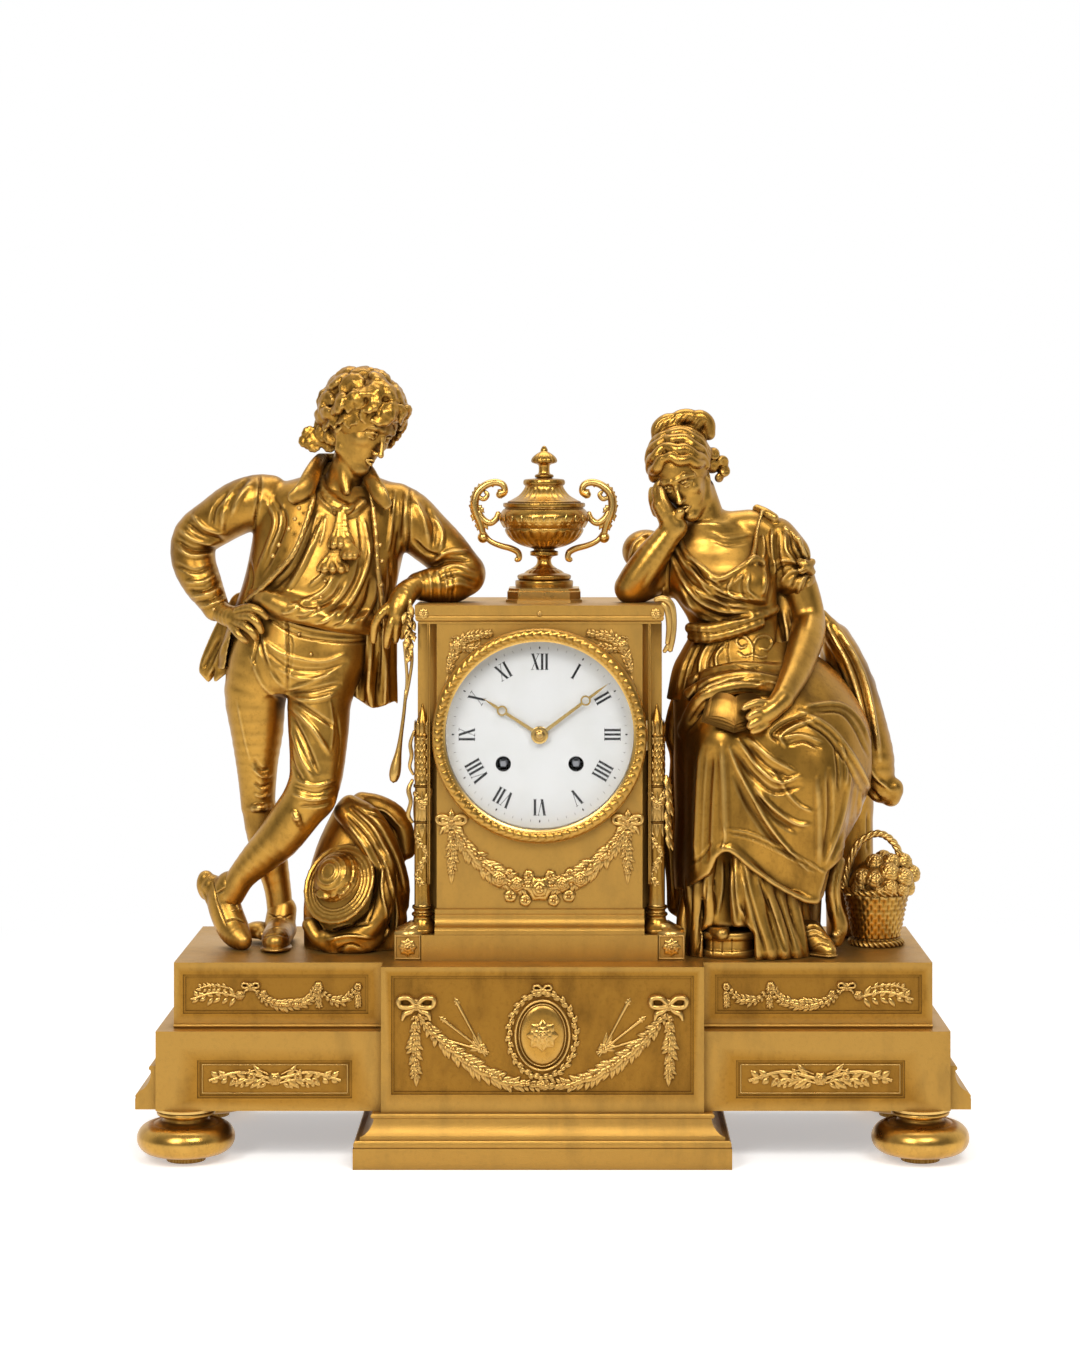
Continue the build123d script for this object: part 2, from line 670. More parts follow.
block = tier(block_left, block_right, block_front, underside, block_top)
block = sunk(block, centre_panel, centre_panel_low, centre_panel_high, block_front)
case_stud_x = 50.0
for side in (-1, 1):
    block = block - rod_z(stud_hole_r, case_x + side * case_stud_x, 0, block_top - shell_wall - overrun,
        block_top + overrun)
keep("centre_block", block)

figure_studs = {"youth": (-174.5, 6.0), "bundle": (-125.0, 0.0), "maiden": (124.0, -9.0),
    "basket": (basket_x, basket_y)}
nuts = []
for side, left, right, start, end, panel_low, panel_high in (
        ("left", wing_left, block_left, upper_left, block_left, left_lower_panel, left_upper_panel),
        ("right", block_right, wing_right, block_right, upper_right, right_lower_panel, right_upper_panel)):
    lower = tier(left, right, lower_front, underside, lower_top)
    lower = sunk(lower, panel_low, lower_panel_low, lower_panel_high, lower_front)
    sign = -1 if side == "left" else 1
    for y in (-foot_y, foot_y):
        x = sign * foot_x
        front_edge = lower_front if y < 0 else base_back - pad
        lower = lower + span_box(min(left if sign < 0 else right - pad, right),
            left + pad if sign < 0 else right,
                                 front_edge, front_edge + pad, underside, underside + pad_thickness)
        lower = lower - rod_z(stud_hole_r, x, y, underside - overrun, underside + pad_thickness + overrun)
        nuts.append(nut(x, y, underside + pad_thickness))
    keep(f"{side}_lower_tier", lower)

    upper = tier(start, end, upper_front, lower_top, base_top)
    bead = face_of(scaled(tier_bead_shares, tier_bead, tier_bead, upper_front, lower_top))
    bead_bar = Pos(start, 0, 0) * extrude(Plane.YZ * bead, amount=end - start, dir=(1, 0, 0))
    upper = upper + bead_bar
    upper = sunk(upper, panel_high, upper_panel_low, upper_panel_high, upper_front)
    for name, (x, y) in figure_studs.items():
        if start < x < end:
            upper = upper - rod_z(stud_hole_r, x, y, base_top - shell_wall - overrun, base_top + overrun)
            nuts.append(nut(x, y, base_top - shell_wall - nut_height))
    keep(f"{side}_upper_tier", upper)

    outline = scaled(end_shares, sign * end_reach, end_height, left if side == "left" else right, underside)
    moulding = extrude(Plane.XZ * face_of(outline), amount=base_back - lower_front - end_setback,
        dir=(0, 1, 0))
    keep(f"{side}_end_moulding", Pos(0, lower_front + end_setback, 0) * moulding)

for end, y in (("front", -foot_y), ("back", foot_y)):
    for side, x in (("left", -foot_x), ("right", foot_x)):
        foot = turned_z(scaled(foot_shares, foot_bun_r, underside), x, y)
        foot = foot + rod_z(stud_r, x, y, underside - overrun, underside + stud_reach)
        keep(f"{end}_{side}_foot", foot)

for side in (-1, 1):
    nuts.append(nut(case_x + side * case_stud_x, 0, block_top - shell_wall - nut_height))

# Low reliefs on the base
panel_face = upper_front + sink
for side, panel in (("left", left_upper_panel), ("right", right_upper_panel)):
    low, high = upper_panel_low, upper_panel_high
    wide = panel[1] - panel[0]
    tall = high - low
    middle = (low + high) / 2
    outer = panel[0] if side == "left" else panel[1]
    inward = 1 if side == "left" else -1
    sketch = swag_sketch(outer + inward * wide * 0.30, middle + tall * 0.18, outer + inward * wide * 0.94,
        middle + tall * 0.18,
                         tall * 0.34, tall * 0.15, 7)
    sketch = sketch + flower_shape(outer + inward * wide * 0.62, middle - tall * 0.14, tall * 0.26, 6)
    sketch = sketch + flower_shape(outer + inward * wide * 0.30, middle + tall * 0.12, tall * 0.22, 5)
    sketch = sketch + flower_shape(outer + inward * wide * 0.94, middle + tall * 0.10, tall * 0.18, 5)
    for k in range(4):
        sketch = sketch + leaf_shape(outer + inward * wide * (0.06 + 0.06 * k),
            middle - tall * 0.04 * (k % 2), tall * 0.5, 30 * (-1) ** k)
    keep(f"{side}_upper_relief", raised(sketch, panel_face, relief_depth))
panel_face = lower_front + sink
for side, panel in (("left", left_lower_panel), ("right", right_lower_panel)):
    low, high = lower_panel_low, lower_panel_high
    wide = panel[1] - panel[0]
    tall = high - low
    middle = (low + high) / 2
    centre = (panel[0] + panel[1]) / 2
    sketch = flower_shape(centre, middle, tall * 0.27, 6)
    for turn_side in (-1, 1):
        sketch = sketch + swag_sketch(centre + turn_side * tall * 0.2, middle, centre + turn_side * wide * 0.42,
            middle, tall * 0.06, tall * 0.17, 5)
        sketch = sketch + flower_shape(centre + turn_side * wide * 0.27, middle, tall * 0.18, 5)
    keep(f"{side}_lower_relief", raised(sketch, panel_face, relief_depth))

# Centre relief: an oval medallion in a wreath, two swags with bows and pendants
panel_face = block_front + sink
panel_x = (centre_panel[0] + centre_panel[1]) / 2
panel_wide = centre_panel[1] - centre_panel[0]
panel_tall = centre_panel_high - centre_panel_low
medal_x = panel_x
medal_z = centre_panel_low + panel_tall * 0.56
wreath = Pos(medal_x, medal_z) * Ellipse(panel_wide * 0.118, panel_tall * 0.385)
bowed = None
for turn_side in (-1, 1):
    bow_x = medal_x + turn_side * panel_wide * 0.405
    bow_z = centre_panel_low + panel_tall * 0.80
    swag = swag_sketch(bow_x, bow_z, medal_x, centre_panel_low + panel_tall * 0.20, panel_tall * 0.26,
        panel_tall * 0.072, 11)
    drop = swag_sketch(bow_x, bow_z, bow_x + turn_side * panel_tall * 0.01, centre_panel_low + panel_tall * 0.10,
        0, panel_tall * 0.07, 7)
    knot = flower_shape(bow_x, bow_z, panel_tall * 0.13, 5)
    piece = swag + drop + knot
    bowed = piece if bowed is None else bowed + piece
relief = raised(wreath + bowed, panel_face, relief_depth)
medal = raised(Pos(medal_x, medal_z) * Ellipse(panel_wide * 0.080, panel_tall * 0.27),
    panel_face - relief_depth + gap, relief_depth)
keep("centre_relief", relief + medal)

# Case plinth with corner blocks, its moulding, and the studs that hold it down
plinth = span_box(case_x - plinth_half, case_x + plinth_half, plinth_front_y, case_back + moulding_side,
    block_top, plinth_block_top)
for side in (-1, 1):
    x = case_x + side * corner_block_x
    half = corner_block / 2
    plinth = plinth + span_box(x - half, x + half, corner_block_front, corner_block_front + corner_block,
        block_top, plinth_block_top)
    plinth = plinth + span_box(min(case_x, x - side * half), max(case_x, x - side * half),
        corner_block_front + corner_block / 2,
                               case_back + moulding_side, block_top, plinth_block_top)
moulding = moulded(case_x - case_half - moulding_side, case_x + case_half + moulding_side,
    case_front - moulding_front,
                   case_back + moulding_side, plinth_block_top, case_foot - plinth_block_top, moulding_side,
                   moulding_front,
                   moulding_side, moulding_shares)
for side in (-1, 1):
    x = case_x + side * corner_block_x
    corner = span_box(min(x - side * corner_block, x + side * corner_block),
        max(x - side * corner_block, x + side * corner_block),
                      case_front - moulding_front - overrun, corner_block_front + corner_block + gap,
                      plinth_block_top,
                      case_foot + overrun)
    moulding = moulding - corner
plinth = plinth + moulding
plinth = plinth - span_box(case_x - plinth_half + plinth_wall, case_x + plinth_half - plinth_wall,
    case_front + plinth_wall,
                           case_back - plinth_wall, block_top + shell_wall, case_foot + overrun)
for side in (-1, 1):
    x = case_x + side * case_stud_x
    plinth = plinth + rod_z(stud_r, x, 0, block_top - stud_reach, block_top + overrun)
keep("case_plinth", plinth)

# Corner torches
for name, side in (("left", -1), ("right", 1)):
    x = case_x + side * torch_x
    height = torch_top - plinth_block_top
    outline = [(0, plinth_block_top + height * torch_shares[0][1])]
    outline.extend((r * torch_r, plinth_block_top + height * z) for r, z in torch_shares)
    outline.append((0, torch_top))
    torch = turned_z(outline, x, torch_y)
    block_x = case_x + side * corner_block_x
    foot = loft([Pos(block_x, corner_block_front + corner_block / 2,
        plinth_block_top) * Rectangle(corner_block, corner_block),
                 Pos(x, torch_y, plinth_block_top + torch_flare_height) * Rectangle(torch_ring_r * 1.8,
                 torch_ring_r * 1.8)], ruled=True)
    keep(f"{name}_torch", torch + foot)

# Case body: a shell with niches at its front corners and round holes for the dial and the back door
body = span_box(case_x - case_half, case_x + case_half, case_front, case_back, case_foot, case_top)
inside = span_box(case_x - case_half + case_wall, case_x + case_half - case_wall, case_front + case_wall,
    case_back - case_wall,
                  case_foot - overrun, case_top + overrun)
for side in (-1, 1):
    corner = (case_x + side * case_half, case_front)
    inside = inside - rod_z(niche_r + case_wall, corner[0], corner[1], case_foot - overrun * 2,
        case_top + overrun * 2)
    body = body - rod_z(niche_r, corner[0], corner[1], case_foot - overrun, case_top + overrun)
body = body - inside
body = body - rod_y(ring_outer_r + ring_seat_gap, case_front - overrun, ring_back + overrun)
body = body - rod_y(back_hole_r, case_back - case_wall - overrun, case_back + overrun)
keep("case_body", body)

slab = moulded(case_x - slab_half, case_x + slab_half, slab_front, slab_back, case_top, slab_top - case_top,
    slab_lip, slab_lip, slab_lip,
               slab_lip_shares)
slab = slab - rod_z(stud_hole_r, urn_x, urn_y, case_top - overrun, slab_top + overrun)
keep("case_top_slab", slab)
nuts.append(nut(urn_x, urn_y, case_top - nut_height))

# Reliefs on the front of the case
swag_top = dial_z - 54.2
front_half = case_half - niche_r
dial_swag_half_share = 0.86
swag_low = 49.0
sketch = swag_sketch(case_x - front_half * dial_swag_half_share, swag_top,
    case_x + front_half * dial_swag_half_share, swag_top,
                     swag_low * 0.80, swag_low * 0.115, 17)
sketch = sketch + flower_shape(case_x, swag_top - swag_low * 0.75, swag_low * 0.18, 6)
for side in (-1, 1):
    x = case_x + side * front_half * dial_swag_half_share
    sketch = sketch + flower_shape(x, swag_top, swag_low * 0.16, 5)
    sketch = sketch + swag_sketch(x, swag_top, x, swag_top - swag_low * 0.74, 0, swag_low * 0.08, 6)
keep("dial_swag", raised(sketch, case_front, relief_depth) - rod_y(bezel_r + gap, bezel_front, case_front
    + overrun))

sketch = None
spray_height = 33.0
spray_share = 0.86
for side in (-1, 1):
    x = case_x + side * front_half * spray_share
    top = dial_z + bezel_r - gap
    piece = swag_sketch(x, top - spray_height, x, top - spray_height * 0.28, 0, spray_height * 0.10, 4)
    piece = piece + swag_sketch(x - side * spray_height * 0.75, top - spray_height * 0.10, x,
        top - spray_height * 0.24, 0,
                                spray_height * 0.10, 4)
    piece = piece + flower_shape(x, top - spray_height * 0.22, spray_height * 0.16, 5)
    sketch = piece if sketch is None else sketch + piece
keep("spandrel_sprays", raised(sketch, case_front, relief_depth) - rod_y(bezel_r + gap, bezel_front,
    case_front + overrun))

# Urn: foot with its stud, bowl, two handles and the lid
foot = span_box(urn_x - urn_plinth_half, urn_x + urn_plinth_half, urn_y - urn_plinth_half,
    urn_y + urn_plinth_half, slab_top,
                slab_top + urn_plinth_height)
foot = chamfer(foot.edges().filter_by(Axis.Z), urn_plinth_half * 0.3)
urn_step = slab_top + urn_plinth_height
foot = foot + turned_z(scaled(urn_foot_shares, urn_bowl_r, urn_foot_top - urn_step + urn_plinth_height * 0.5,
    0,
                              urn_step - urn_plinth_height * 0.5), urn_x, urn_y)
foot = foot + rod_z(stud_r, urn_x, urn_y, slab_top - shell_wall * 3.4, slab_top + overrun)
keep("urn_foot", foot)
bowl = turned_z(scaled(urn_bowl_shares, urn_bowl_r, urn_bowl_top - urn_foot_top, 0, urn_foot_top), urn_x,
    urn_y)
lid = turned_z(scaled(urn_lid_shares, urn_bowl_r, urn_tip - urn_bowl_top, 0, urn_bowl_top), urn_x, urn_y)
keep("urn_lid", lid)
handles = []
bowl_height = urn_bowl_top - urn_foot_top
for side in (-1, 1):
    points = [Vector(urn_x + side * px * urn_bowl_r, urn_y, urn_foot_top + pz * bowl_height) for px,
        pz in handle_shares]
    handle = None
    for a, b in zip(points, points[1:]):
        way = (b - a).normalized()
        bar = Plane(origin=a, z_dir=way) * Cylinder(handle_r, (b - a).length,
            align=(Align.CENTER, Align.CENTER, Align.MIN))
        knuckle = Pos(b.X, b.Y, b.Z) * Sphere(handle_r * 1.12)
        handle = bar + knuckle if handle is None else handle + bar + knuckle
    handles.append(handle - bowl)
keep("urn_bowl", bowl)
keep("urn_handles", Compound(children=handles))

# Ring that holds the dial and the movement, with the straps that reach back through the case
ring = turned_y([(ring_inner_r, ring_flange_front), (ring_flange_r, ring_flange_front),
    (ring_flange_r, case_front),
                 (ring_outer_r, case_front), (ring_outer_r, ring_back), (ring_lip_r, ring_back),
                 (ring_lip_r, ring_back - ring_lip),
                 (ring_inner_r, ring_back - ring_lip)])
strap_back = case_back - screw_length
for side in (-1, 1):
    x = case_x + side * (strap_place + strap_thickness / 2)
    ring = ring + span_box(x - strap_thickness / 2, x + strap_thickness / 2, ring_back - overrun, strap_back,
        dial_z - strap_width / 2,
                           dial_z + strap_width / 2)
    tab_end = case_x + side * (strap_place + strap_thickness - strap_tab - strap_thickness)
    ring = ring + span_box(min(tab_end, x), max(tab_end, x), strap_back - strap_thickness, strap_back,
        dial_z - strap_width / 2,
                           dial_z + strap_width / 2)
screw_x = strap_place - screw_head_r - gap * 2
for side in (-1, 1):
    ring = ring - rod_y(screw_r + thin_gap, strap_back - strap_thickness - overrun, strap_back + overrun,
        side * screw_x)
hinge_cut = span_box(case_x + ring_outer_r, case_x + bezel_r, ring_flange_front - overrun, case_front,
    dial_z - hinge_middle_half - gap,
                     dial_z + hinge_middle_half + gap)
for z0, z1 in ((-hinge_half, -hinge_middle_half - gap), (hinge_middle_half + gap, hinge_half)):
    lug = span_box(case_x + hinge_x - hinge_lug, case_x + hinge_x, ring_flange_front, case_front,
        dial_z + z0, dial_z + z1)
    lug = lug + rod_z(hinge_knuckle_r, case_x + hinge_x, hinge_y, dial_z + z0, dial_z + z1)
    ring = ring + lug
ring = ring - rod_z(hinge_pin_r + thin_gap, case_x + hinge_x, hinge_y, dial_z - hinge_half - overrun,
    dial_z + hinge_half + overrun)
keep("dial_surround", ring)

# Bezel, glass and hinge pins
bezel = turned_y([(opening_r, bezel_rebate_front), (opening_r, bezel_front + overrun),
    (opening_r + overrun, bezel_front + overrun / 2),
                  ((opening_r + (bezel_r - opening_r) * 0.5, bezel_front),
                  (bezel_r - overrun * 0.6, bezel_front + overrun)),
                  (bezel_r, bezel_front + overrun * 2), (bezel_r, bezel_back), (bezel_rebate_r, bezel_back),
                  (bezel_rebate_r, bezel_rebate_front)])
notch_front = hinge_y - hinge_knuckle_r - gap
bezel = bezel - span_box(case_x + hinge_x - hinge_lug - gap, case_x + bezel_r + overrun, notch_front,
    bezel_back + overrun,
                         dial_z - hinge_half - gap, dial_z + hinge_half + gap)
leaf = span_box(case_x + hinge_x - hinge_knuckle_r, case_x + hinge_x + hinge_knuckle_r * 0.4,
    notch_front - gap, hinge_y,
                dial_z - hinge_middle_half, dial_z + hinge_middle_half)
leaf = leaf + rod_z(hinge_knuckle_r, case_x + hinge_x, hinge_y, dial_z - hinge_middle_half,
    dial_z + hinge_middle_half)
bezel = bezel + leaf
bezel = bezel - rod_z(hinge_pin_hole_r, case_x + hinge_x, hinge_y, dial_z - hinge_half, dial_z + hinge_half)
keep("bezel_ring", bezel)
glass_front = bezel_rebate_front + glass_gap
keep("bezel_glass", rod_y(bezel_rebate_r - glass_gap, glass_front, glass_front + glass_thickness))

# Back ring and back door
ring = turned_y([(back_hole_r - gap * 10, case_back), (back_ring_r, case_back),
    (back_ring_r, case_back + back_ring_depth),
                 (back_hole_r - gap * 10, case_back + back_ring_depth)])
for side in (-1, 1):
    tongue = span_box(case_x + side * screw_x - screw_head_r, case_x + side * screw_x + screw_head_r,
        case_back - strap_thickness,
                      case_back, dial_z - strap_width / 2, dial_z + strap_width / 2)
    ring = ring + tongue - rod_y(screw_r + thin_gap, case_back - strap_thickness - overrun,
        case_back + back_ring_depth + overrun,
                                 side * screw_x)
door_y = case_back + back_ring_depth + gap
hinge_back_y = door_y + door_thickness / 2
for z0, z1 in ((-hinge_half, -hinge_middle_half - gap), (hinge_middle_half + gap, hinge_half)):
    lug = span_box(case_x - door_hinge_x, case_x - back_ring_r + door_hinge_r * 2, case_back,
        case_back + back_ring_depth, dial_z + z0,
                   dial_z + z1)
    lug = lug + rod_z(door_hinge_r, case_x - door_hinge_x, hinge_back_y, dial_z + z0, dial_z + z1)
    ring = ring + lug
ring = ring - rod_z(hinge_pin_r + thin_gap, case_x - door_hinge_x, hinge_back_y,
    dial_z - hinge_half - overrun,
                    dial_z + hinge_half + overrun)
keep("back_ring", ring)
door = rod_y(door_r, door_y, door_y + door_thickness)
door = door - span_box(case_x - bezel_r, case_x - door_hinge_x + door_hinge_r + gap, door_y - overrun,
    door_y + door_thickness + overrun,
                       dial_z - hinge_half - gap, dial_z + hinge_half + gap)
leaf = span_box(case_x - door_hinge_x, case_x - door_r + door_lip, door_y, door_y + door_thickness,
    dial_z - hinge_middle_half,
                dial_z + hinge_middle_half)
leaf = leaf + rod_z(door_hinge_r, case_x - door_hinge_x, hinge_back_y, dial_z - hinge_middle_half,
    dial_z + hinge_middle_half)
door = door + leaf
door = door - rod_z(hinge_pin_hole_r, case_x - door_hinge_x, hinge_back_y, dial_z - hinge_half,
    dial_z + hinge_half)
knob_place = 48.0
door = door + rod_y(door_lip, door_y + door_thickness - gap, door_y + door_thickness + door_lip * 1.5,
    knob_place)
keep("back_door", door)
pins = [rod_z(hinge_pin_r, case_x + hinge_x, hinge_y, dial_z - hinge_half, dial_z + hinge_half),
        rod_z(hinge_pin_r, case_x - door_hinge_x, hinge_back_y, dial_z - hinge_half, dial_z + hinge_half)]
keep("hinge_pins", Compound(children=pins))
screws = []
for side in (-1, 1):
    screw = rod_y(screw_r, strap_back - strap_thickness * 2, case_back + back_ring_depth - gap,
        side * screw_x)
    cup = rod_y(screw_head_r, strap_back - strap_thickness * 2 - screw_head_height,
        strap_back - strap_thickness - gap / 2, side * screw_x)
    screws.append(screw + cup)
keep("strap_screws", Compound(children=screws))

# Enamel dial
dial_back = dial_front + dial_thickness
dial = turned_y([(0, dial_back), (0, dial_front - dial_dome),
    ((dial_r / 2, dial_front - dial_dome * 0.75), (dial_r, dial_front)),
                 (dial_r, dial_back)])
dial = dial - rod_y(dial_centre_hole_r, dial_front - dial_dome - overrun, dial_back + overrun)
for side in (-1, 1):
    dial = dial - rod_y(winding_hole_r, dial_front - dial_dome - overrun, dial_back + overrun,
        side * winding_x, -winding_drop)
for k in range(3):
    turn = math.radians(120 * k + 60)
    dial = dial + rod_y(dial_foot_r, dial_back - gap, front_plate_y, dial_foot_place * math.sin(turn),
        dial_foot_place * math.cos(turn))
keep("dial", dial)


# Hands: a tapered blade with an open ring and a round boss
def hand(length, ring_place, ring_outer, ring_inner, boss_r, bore_r, thickness, turn, y):
    blade = make_face(Polyline((-boss_r * 0.22, 0), (-boss_r * 0.16, length * 0.82), (0, length),
        (boss_r * 0.16, length * 0.82),
                               (boss_r * 0.22, 0), (-boss_r * 0.22, 0)))
    flat = blade + Pos(0, ring_place) * Circle(ring_outer) + Circle(boss_r)
    flat = flat - Pos(0, ring_place) * Circle(ring_inner) - Circle(bore_r)
    solid = extrude(Plane.XZ * flat, amount=thickness, dir=(0, 1, 0))
    return at_dial(Rot(0, turn, 0) * solid, y)


minute_length = 52.9
minute_ring = 35.0
hour_length = 41.1
hour_ring = 27.2
ring_r = 3.2
ring_hole_r = 2.1
minute_turn = 53.1
hour_turn = 302.7
boss_r = 5.3
hand_thickness = 0.8
keep("minute_hand", hand(minute_length, minute_ring, ring_r, ring_hole_r, boss_r, arbor_r + snug,
    hand_thickness, minute_turn,
                         cannon_front - hand_thickness))
keep("hour_hand", hand(hour_length, hour_ring, ring_r, ring_hole_r, boss_r, pipe_r + snug, hand_thickness,
    hour_turn, pipe_front))

# Plates with pillars, studs and bores
front_plate = rod_y(plate_r, front_plate_y, front_plate_y + plate_thickness)
back_plate_y = front_plate_y + plate_thickness + pillar_length
back_plate = rod_y(plate_r, back_plate_y, back_plate_y + plate_thickness)
back_plate = back_plate - rod_y(bell_hub_r * 2, back_plate_y - overrun,
    back_plate_y + plate_thickness + overrun, 0, -escape_place)
for turn in pillar_angles:
    dx = pillar_place * math.cos(math.radians(turn))
    dz = pillar_place * math.sin(math.radians(turn))
    front_plate = front_plate + rod_y(pillar_r, front_plate_y + plate_thickness, back_plate_y, dx, dz)
    front_plate = front_plate + rod_y(pillar_r / 2, back_plate_y, back_plate_y + plate_thickness * 1.4, dx,
        dz)
    back_plate = back_plate - rod_y(pillar_r / 2 + thin_gap, back_plate_y - overrun,
        back_plate_y + plate_thickness + overrun, dx, dz)
back_face = back_plate_y + plate_thickness
barrel_far = math.hypot(winding_x, winding_drop)
pinion_pitch = great_reach * great_pinion_teeth / great_teeth
train_far = great_reach + pinion_pitch
centre_pitch = centre_reach / (intermediate_teeth + centre_pinion_teeth) * centre_pinion_teeth
intermediate_pitch = centre_reach - centre_pitch
barrel_turn = math.atan2(-winding_drop, -winding_x)
corner_turn = math.acos((barrel_far ** 2 + centre_reach ** 2 - train_far ** 2) / (2 * barrel_far
    * centre_reach))
train_x = centre_reach * math.cos(barrel_turn - corner_turn)
train_z = centre_reach * math.sin(barrel_turn - corner_turn)
hammer_pivot = (hammer_place * math.cos(math.radians(hammer_pivot_angle)),
    hammer_place * math.sin(math.radians(hammer_pivot_angle)))
bores = [(arbor_r + thin_gap, 0, 0), (pivot_r + thin_gap, 0, escape_place),
    (pivot_r + thin_gap, 0, anchor_place),
         (pivot_r + thin_gap, train_x, train_z), (winding_arbor_r + thin_gap, winding_x, -winding_drop),
         (winding_arbor_r + thin_gap, -winding_x, -winding_drop)]
for radius, dx, dz in bores:
    front_plate = front_plate - rod_y(radius, front_plate_y - overrun,
        front_plate_y + plate_thickness + overrun, dx, dz)
    back_plate = back_plate - rod_y(radius, back_plate_y - overrun, back_plate_y + plate_thickness + overrun,
        dx, dz)
stud = rod_y(stud_pin_r, hour_plane_y - motion_thickness, front_plate_y + gap, 0, motion_centres)
keep("front_plate", front_plate + stud)

# Suspension cock, bell stand and hammer stud belong to the back plate
cock = span_box(case_x - cock_half, case_x + cock_half, back_face - gap,
    pendulum_y + cock_thickness + pendulum_rod_r,
                dial_z + anchor_place + suspension_drop,
                dial_z + anchor_place + suspension_drop + cock_height / 3)
cock = cock + span_box(case_x - cock_half, case_x + cock_half, back_face - gap,
    back_face + cock_thickness / 2,
                       dial_z + anchor_place + suspension_drop - cock_height / 3,
                       dial_z + anchor_place + suspension_drop + cock_height / 3)
cock = cock - span_box(case_x - crutch_r, case_x + crutch_r, pendulum_y - crutch_r, pendulum_y + crutch_r,
                       dial_z + anchor_place, dial_z + anchor_place + cock_height * 2)
arm_turn = math.radians(bell_arm_angle)
arm_x = bell_arm_place * math.sin(arm_turn)
arm_z = -bell_arm_place * math.cos(arm_turn)
bell_back_y = bell_mouth_y + bell_depth
arm_end_y = bell_back_y + bell_arm + gap
stand = rod_y(bell_arm / 2, back_face - gap, arm_end_y, arm_x, arm_z)
bar = Box(bell_arm, bell_arm, bell_arm_place + bell_arm)
bar = Pos(case_x + arm_x / 2, arm_end_y - bell_arm / 2, dial_z + arm_z / 2) * (Rot(0, -bell_arm_angle,
    0) * bar)
stand = stand + bar
stand = stand + rod_y(bell_hub_r / 2, bell_back_y - bell_arm, arm_end_y - gap)
back_plate = back_plate + cock + stand
back_plate = back_plate + rod_y(pivot_r, back_face - gap, hammer_arm_y + hammer_arm * 2, hammer_pivot[0],
    hammer_pivot[1])
keep("back_plate", back_plate)

# Motion work
cannon_pitch = motion_centres * cannon_teeth / (cannon_teeth + minute_wheel_teeth)
minute_pitch = motion_centres - cannon_pitch
small_pitch = motion_centres * minute_pinion_teeth / (minute_pinion_teeth + hour_wheel_teeth)
hour_pitch = motion_centres - small_pitch
arbor = turned_y([(0, arbor_front), (arbor_r, arbor_front), (arbor_r, cannon_front),
    (cannon_r, cannon_front),
                  (cannon_r, front_plate_y - gap), (arbor_r, front_plate_y - gap),
                  (arbor_r, back_face + gap), (0, back_face + gap)])
arbor = arbor + at_dial(toothed(cannon_teeth, cannon_pitch, motion_thickness * 1.5, arbor_r / 2, 0),
    motion_y - motion_thickness / 4)
arbor = arbor + at_dial(toothed(centre_pinion_teeth, centre_pitch, wheel_thickness * 2, arbor_r / 2,
    90 - math.degrees(
    math.atan2(train_z, train_x))), intermediate_y - wheel_thickness / 2)
keep("centre_arbor", arbor)
half_turn = 180
wheel = at_dial(toothed(minute_wheel_teeth, minute_pitch, motion_thickness, stud_pin_r + running_gap,
    half_turn + half_turn / minute_wheel_teeth,
                        spoke_holes, overrun), motion_y, 0, motion_centres)
wheel = wheel + at_dial(toothed(minute_pinion_teeth, small_pitch,
    motion_y - hour_plane_y + gap + overrun / 2, stud_pin_r + running_gap, half_turn),
                        hour_plane_y - overrun / 2, 0, motion_centres)
keep("minute_wheel", wheel)
pipe = turned_y([(pipe_bore_r, pipe_front), (pipe_r, pipe_front), (pipe_r, motion_y - gap),
    (pipe_bore_r, motion_y - gap)])
pipe = pipe + at_dial(toothed(hour_wheel_teeth, hour_pitch, motion_thickness, pipe_bore_r,
    180 / hour_wheel_teeth), hour_plane_y)
keep("hour_wheel", pipe)

# Barrels with their great wheels, winding arbors and the intermediate wheel
for name, side in (("going", -1), ("strike", 1)):
    x = side * winding_x
    drum = rod_y(drum_r, drum_y, drum_y + drum_length, x, -winding_drop)
    mesh_turn = math.degrees(math.atan2(train_x - x, train_z + winding_drop))
    great = toothed(great_teeth, great_reach, wheel_thickness, winding_arbor_r + thin_gap, mesh_turn)
    drum = drum + at_dial(great, drum_y + drum_length, x, -winding_drop)
    drum = drum - rod_y(winding_arbor_r + thin_gap, drum_y - overrun, drum_y + drum_length + overrun * 2, x,
        -winding_drop)
    keep(f"{name}_barrel", drum)
    arbor = rod_y(winding_arbor_r, front_plate_y, back_face + gap, x, -winding_drop)
    half = winding_square / 2
    arbor = arbor + span_box(case_x + x - half, case_x + x + half, winding_front, front_plate_y + gap,
        dial_z - winding_drop - half,
                             dial_z - winding_drop + half)
    arbor = arbor + rod_y(winding_collar, drum_y - overrun, drum_y - gap, x, -winding_drop)
    arbor = arbor + rod_y(winding_collar, drum_y + drum_length + wheel_thickness + gap,
        drum_y + drum_length + wheel_thickness + overrun, x,
                          -winding_drop)
    keep(f"{name}_arbor", arbor)

back_turn = math.degrees(math.atan2(-train_x, -train_z))
wheel = at_dial(toothed(intermediate_teeth, intermediate_pitch, wheel_thickness, arbor_r / 2,
    back_turn + 180 / intermediate_teeth,
                        spoke_holes, overrun), intermediate_y, train_x, train_z)
mesh_back = math.degrees(math.atan2(-winding_x - train_x, -winding_drop - train_z))
pinion_y = drum_y + drum_length - gap
wheel = wheel + at_dial(toothed(great_pinion_teeth, pinion_pitch, intermediate_y - pinion_y + gap,
    arbor_r / 3, mesh_back + 180 / great_pinion_teeth),
                        pinion_y, train_x, train_z)
wheel = wheel + rod_y(pivot_r, front_plate_y, back_face, train_x, train_z)
keep("intermediate_wheel", wheel)

